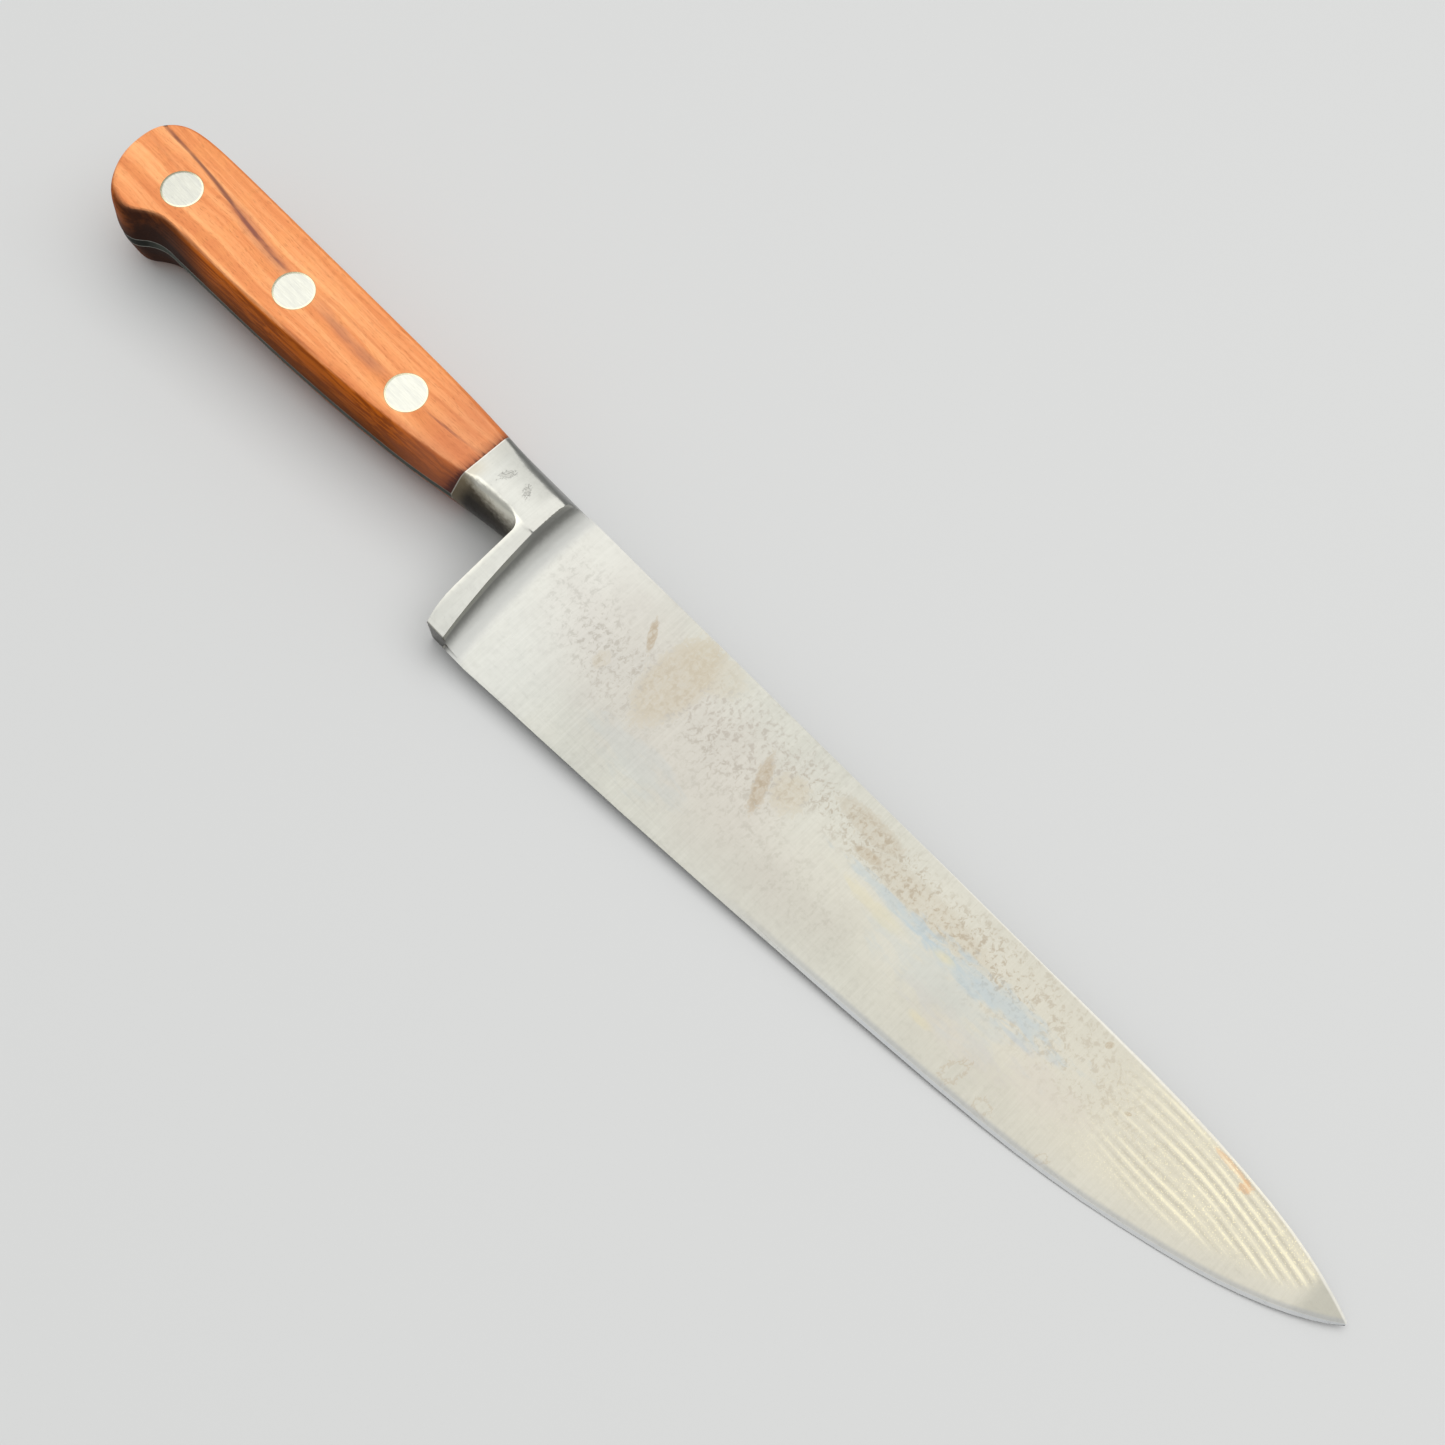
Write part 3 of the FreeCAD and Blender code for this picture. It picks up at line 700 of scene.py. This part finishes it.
class Wood(Surface):
    """The scales' wood, with the grain that several of its marks share, wandering as in a real board."""

    def __init__(self):
        super().__init__("scale_wood", Specular_IOR_Level=0.06)
        self.normal_y = self.facing()
        self.height = self.math("ABSOLUTE", self.math("SUBTRACT", self.z, MID_PLANE))
        self.sunk_y = self.times(self.math("SUBTRACT", FACE_HEIGHT, self.z), 0.12)
        drift = self.noise(self.stretched(0.022, 0.06, 0.07), 1.0, 3)
        wander = self.math("MULTIPLY_ADD", drift, 5.0, -2.5)
        level = self.add(self.add(self.y, wander), self.sunk_y)
        flow = self.nodes.new("ShaderNodeCombineXYZ")
        for socket, value in zip(flow.inputs, (self.x, level, self.z)):
            self.put(socket, value)
        self.flow = flow.outputs[0]
        self.bands = self.noise(self.stretched(0.010, 0.30, 0.22, source=self.flow), 1.0, 6, 0.6)
        self.rings = self.noise(self.stretched(0.014, 1.15, 0.9, source=self.flow), 1.0, 4, 0.6)
        self.fibres = self.noise(self.stretched(0.16, 7.0, 6.0, source=self.flow), 1.0, 4, 0.65)
        pores = self.noise(self.stretched(0.45, 9.0, 8.0, source=self.flow), 1.0, 2, 0.5)
        self.pores = self.steps(pores, 0.60, 0.70)


def grain(s):
    """Bands, rings, fibres and pores, and a faint figure across them."""
    s.colour = s.ramp(s.bands, [(0.28, (0.66, 0.215, 0.075)), (0.46, MID_WOOD), (0.64, PALE_WOOD)])
    s.paint(s.steps(s.rings, 0.50, 0.72), RED_WOOD, 0.30)
    s.paint(s.steps(s.rings, 0.42, 0.28), PALE_WOOD, 0.28)
    s.paint(s.steps(s.fibres, 0.50, 0.70), RED_WOOD, 0.36)
    s.paint(s.steps(s.fibres, 0.45, 0.28), (0.90, 0.44, 0.17), 0.22)
    figure = s.noise(s.stretched(0.16, 0.09, 0.1), 1.0, 3, 0.5, 1.0)
    s.paint(s.steps(figure, 0.45, 0.65), (0.86, 0.37, 0.12), 0.16)
    s.paint(s.pores, DARK_WOOD, 0.38)


def veins(s):
    """Dark veins: (the line it follows, half width, strength, tint, and where it starts and stops in X)."""
    fade = 9
    for line, half, strength, tint, start, stop in (
        (MAIN_VEIN, 0.34, 0.80, PURPLE, -187, -130),
        (MAIN_VEIN, 1.10, 0.45, (0.27, 0.10, 0.08), -160, -128),
        (MAIN_VEIN, 0.95, 0.50, (0.33, 0.135, 0.09), -126, -94),
        (MAIN_VEIN, 0.22, 0.62, PURPLE, -88, -66),
        (BELLY_STREAK, 0.24, 0.50, DARK_WOOD, -162, -108),
        (BELLY_STREAK, 0.75, 0.35, RED_WOOD, -130, -66),
        (UPPER_STREAK, 0.30, 0.42, RED_WOOD, -186, -160),
        (UPPER_STREAK, 0.26, 0.35, RED_WOOD, -128, -72),
    ):
        off = s.math("SUBTRACT", s.add(s.y, s.sunk_y), s.curve(s.x, line))
        off = s.math("MULTIPLY_ADD", s.math("SUBTRACT", s.rings, 0.5), 1.1, off)
        near = s.steps(s.math("ABSOLUTE", off), half * 0.35, half * 2.2, 1.0, 0.0)
        shown = s.times(s.steps(s.x, start, start + fade), s.steps(s.x, stop - fade, stop, 1.0, 0.0))
        broken = s.steps(s.noise(s.stretched(0.09, 0.5, 0.4), 1.0, 2), 0.30, 0.55, 0.45, 1.0)
        s.paint(s.times(near, shown), tint, s.times(broken, strength))


def belly_side(s):
    """The leaning belly side: painted shade makes it darker and deeper orange, most toward the tang, over
    its own streaked grain, and painted shadow over dark patina makes it almost black by the beak. Returns
    that side.
    """
    belly = s.steps(s.normal_y, -0.25, -0.68)
    # Painted shade: the belly side, which leans away, darker and deeper orange.
    s.paint(belly, (0.42, 0.090, 0.001), 0.95)
    streaks = s.noise(s.stretched(0.02, 1.8, 1.4, source=s.flow), 1.0, 4, 0.6)
    s.paint(s.times(belly, s.steps(streaks, 0.44, 0.58)), (0.12, 0.020, 0.002), 0.60)
    # Painted shade, darker toward the tang.
    s.paint(s.times(belly, s.steps(s.height, 7.5, 1.5)), (0.075, 0.020, 0.004), 0.80)
    # Painted shadow over dark patina in the beak's hollow, almost black.
    hollow = s.patch((-159.0, -7.5), (15.0, 8.0), -8, 0.35, 0.40, s.bands)
    s.paint(s.times(hollow, s.steps(s.normal_y, 0.0, -0.35)), CHAR, 0.97)
    return belly


def scorched_end(s):
    """Redder toward the ferrule, and scorched end grain beside it, deepest at the belly."""
    ruddy = s.steps(s.math("MULTIPLY_ADD", s.bands, 14.0, s.x), -86, -66)
    s.paint(ruddy, (0.50, 0.165, 0.085), 0.42)
    edge = s.math("MULTIPLY_ADD", s.steps(s.y, -2, 10, 1.0, 0.0), -3.2, WOOD_END - 0.7)
    edge = s.math("MULTIPLY_ADD", s.math("SUBTRACT", s.rings, 0.5), 3.5, edge)
    lean = s.times(s.math("SUBTRACT", MID_PLANE, s.height), JOINT_LEAN)
    into = s.add(s.math("SUBTRACT", s.x, edge), lean)
    s.paint(s.steps(into, -2.4, 1.4), (0.16, 0.045, 0.03), 0.62)
    s.paint(s.steps(into, -0.3, 1.6), (0.045, 0.018, 0.018), 0.85)


def wood():
    """Oiled orange-brown fruitwood: straight grain, one purple vein, charred where it meets the ferrule."""
    s = Wood()
    grain(s)
    veins(s)
    belly = belly_side(s)
    scorched_end(s)
    nick = s.patch((-183.9, 15.6), (1.5, 0.5), 8, 0.5, 0.3, s.fibres)
    s.paint(nick, CHAR, 0.8)
    # Painted shade: the rounding toward the spine is darkened to a deeper orange.
    s.paint(s.steps(s.normal_y, 0.10, 0.50), (0.72, 0.50, 0.28), 0.80, "MULTIPLY")

    rough = s.math("MULTIPLY_ADD", s.fibres, 0.20, 0.30)
    rough = s.math("MULTIPLY_ADD", s.pores, 0.12, rough)
    rough = s.math("MULTIPLY_ADD", belly, 0.15, rough)
    bumps = s.bumps((s.fibres, 0.05, 0.35), (s.times(s.pores, -1.0), 0.06, 0.6), (s.rings, 0.05, 0.15),
                    (s.times(nick, -1.0), 0.3, 0.8))
    return s.finish(rough, bumps)


# ---------------------------------------------------------------- rivets

RIVET_RADIUS = 5.0


def nickel_silver(place, axis, turn):
    """Cream-white rivet head with brush marks, a polished rim and a hairline of oil at the wood."""
    s = Surface(f"nickel_silver_{place}", Metallic=1.0)
    shift = s.vector("SUBTRACT", s.place, (axis[0], axis[1], 0.0))
    flat = s.vector("MULTIPLY", shift, (1.0, 1.0, 0.0))
    reach = s.vector("LENGTH", flat)
    brush = s.noise(s.stretched(0.35, 5.5, 1.0, turn=(0, 0, turn), source=shift), 1.0, 4, 0.65)
    broad = s.noise(s.stretched(0.12, 1.1, 1.0, turn=(0, 0, turn), source=shift), 1.0, 3, 0.5)
    dent = s.steps(s.noise(shift, 1.4, 3, 0.5), 0.66, 0.74)
    dull, middling, bright = (0.46, 0.455, 0.40), (0.56, 0.555, 0.485), (0.64, 0.64, 0.57)
    s.colour = s.ramp(brush, [(0.30, dull), (0.55, middling), (0.75, bright)])
    s.paint(s.steps(broad, 0.45, 0.62), (0.42, 0.42, 0.39), 0.30)
    rim = s.steps(reach, RIVET_RADIUS - 0.55, RIVET_RADIUS - 0.3)
    s.paint(rim, (0.66, 0.63, 0.42), 0.8)
    gap = s.steps(reach, RIVET_RADIUS - 0.16, RIVET_RADIUS - 0.06)
    s.paint(gap, (0.13, 0.085, 0.045), 0.75)
    s.paint(dent, (0.36, 0.35, 0.31), 0.25)
    rough = s.math("MULTIPLY_ADD", brush, 0.24, 0.20)
    rough = s.math("MULTIPLY_ADD", rim, -0.08, rough)
    fall = s.steps(reach, RIVET_RADIUS - 0.6, RIVET_RADIUS, 1.0, 0.0)
    return s.finish(rough, s.bumps((brush, 0.03, 0.45), (fall, 0.12, 0.6), (dent, 0.04, 0.4)))


# ---------------------------------------------------------------- surroundings

# The knife sinks into the floor by at most 0.22 mm, deepest at the bolster's lower face.
FLOOR_POINT = mm(-46.8, 10.62, -0.13)
FLOOR_UP = Vector((-0.0376, 0.1622, 0.986)).normalized()
FLOOR_HALF = 6.0


def floor():
    """A pale table top, at the slant on which the knife rests."""
    mesh = bpy.data.meshes.new("floor")
    across = FLOOR_UP.orthogonal().normalized() * FLOOR_HALF
    along = FLOOR_UP.cross(across)
    corners = [FLOOR_POINT + a * across + b * along for a, b in ((-1, -1), (1, -1), (1, 1), (-1, 1))]
    mesh.from_pydata(corners, [], [(0, 1, 2, 3)])
    made = bpy.data.objects.new("floor", mesh)
    bpy.context.scene.collection.objects.link(made)
    s = Surface("pale_floor")
    s.colour = (0.56, 0.56, 0.55, 1)
    tooth = s.noise(s.place, 1.2, 4)
    mesh.materials.append(s.finish(0.8, s.bumps((tooth, 0.05, 0.2))))


def overhead_light():
    """One wide soft panel over the far side of the knife, turned toward it."""
    place, target = Vector((0.05, 0.55, 1.3)), Vector((0.05, 0.30, 0))
    lamp = bpy.data.lights.new("overhead", "AREA")
    lamp.shape = "RECTANGLE"
    lamp.size = 3.0
    lamp.size_y = 2.2
    lamp.energy = 31
    made = bpy.data.objects.new("overhead", lamp)
    made.location = place
    made.rotation_mode = "QUATERNION"
    made.rotation_quaternion = (target - place).to_track_quat("-Z", "Y")
    bpy.context.scene.collection.objects.link(made)


def surroundings():
    """The even, faintly cool light that comes from all round."""
    world = bpy.data.worlds.new("studio")
    bpy.context.scene.world = world
    world.use_nodes = True
    back = world.node_tree.nodes["Background"]
    back.inputs["Color"].default_value = (0.96, 0.98, 1.0, 1)
    back.inputs["Strength"].default_value = 0.52
    bpy.context.scene.view_settings.view_transform = "Standard"


def camera():
    """The photograph's viewpoint, in the row frame."""
    forward = Vector((-0.17062, 0.24522, -0.95434)).normalized()
    up = Vector((-0.69382, 0.65781, 0.29307))
    right = forward.cross(up).normalized()
    up = right.cross(forward)
    data = bpy.data.cameras.new("camera")
    data.sensor_width = 36.0
    data.lens = 36.12
    made = bpy.data.objects.new("camera", data)
    turn = Matrix((right, up, -forward)).transposed()
    made.matrix_world = Matrix.Translation(mm(64.979, -67.145, 312.302)) @ turn.to_4x4()
    bpy.context.scene.collection.objects.link(made)
    bpy.context.scene.camera = made


forged_blade()
scale_finish = wood()
for side in ("right", "left"):
    dress(f"{side}_scale", scale_finish)
for place, turn in (("rear", -0.9), ("middle", -1.2), ("front", -1.0)):
    rivet_finish = nickel_silver(place, rivet_axis(place), turn)
    for half in ("male", "female"):
        dress(f"{place}_rivet_{half}", rivet_finish)
floor()
overhead_light()
surroundings()
camera()
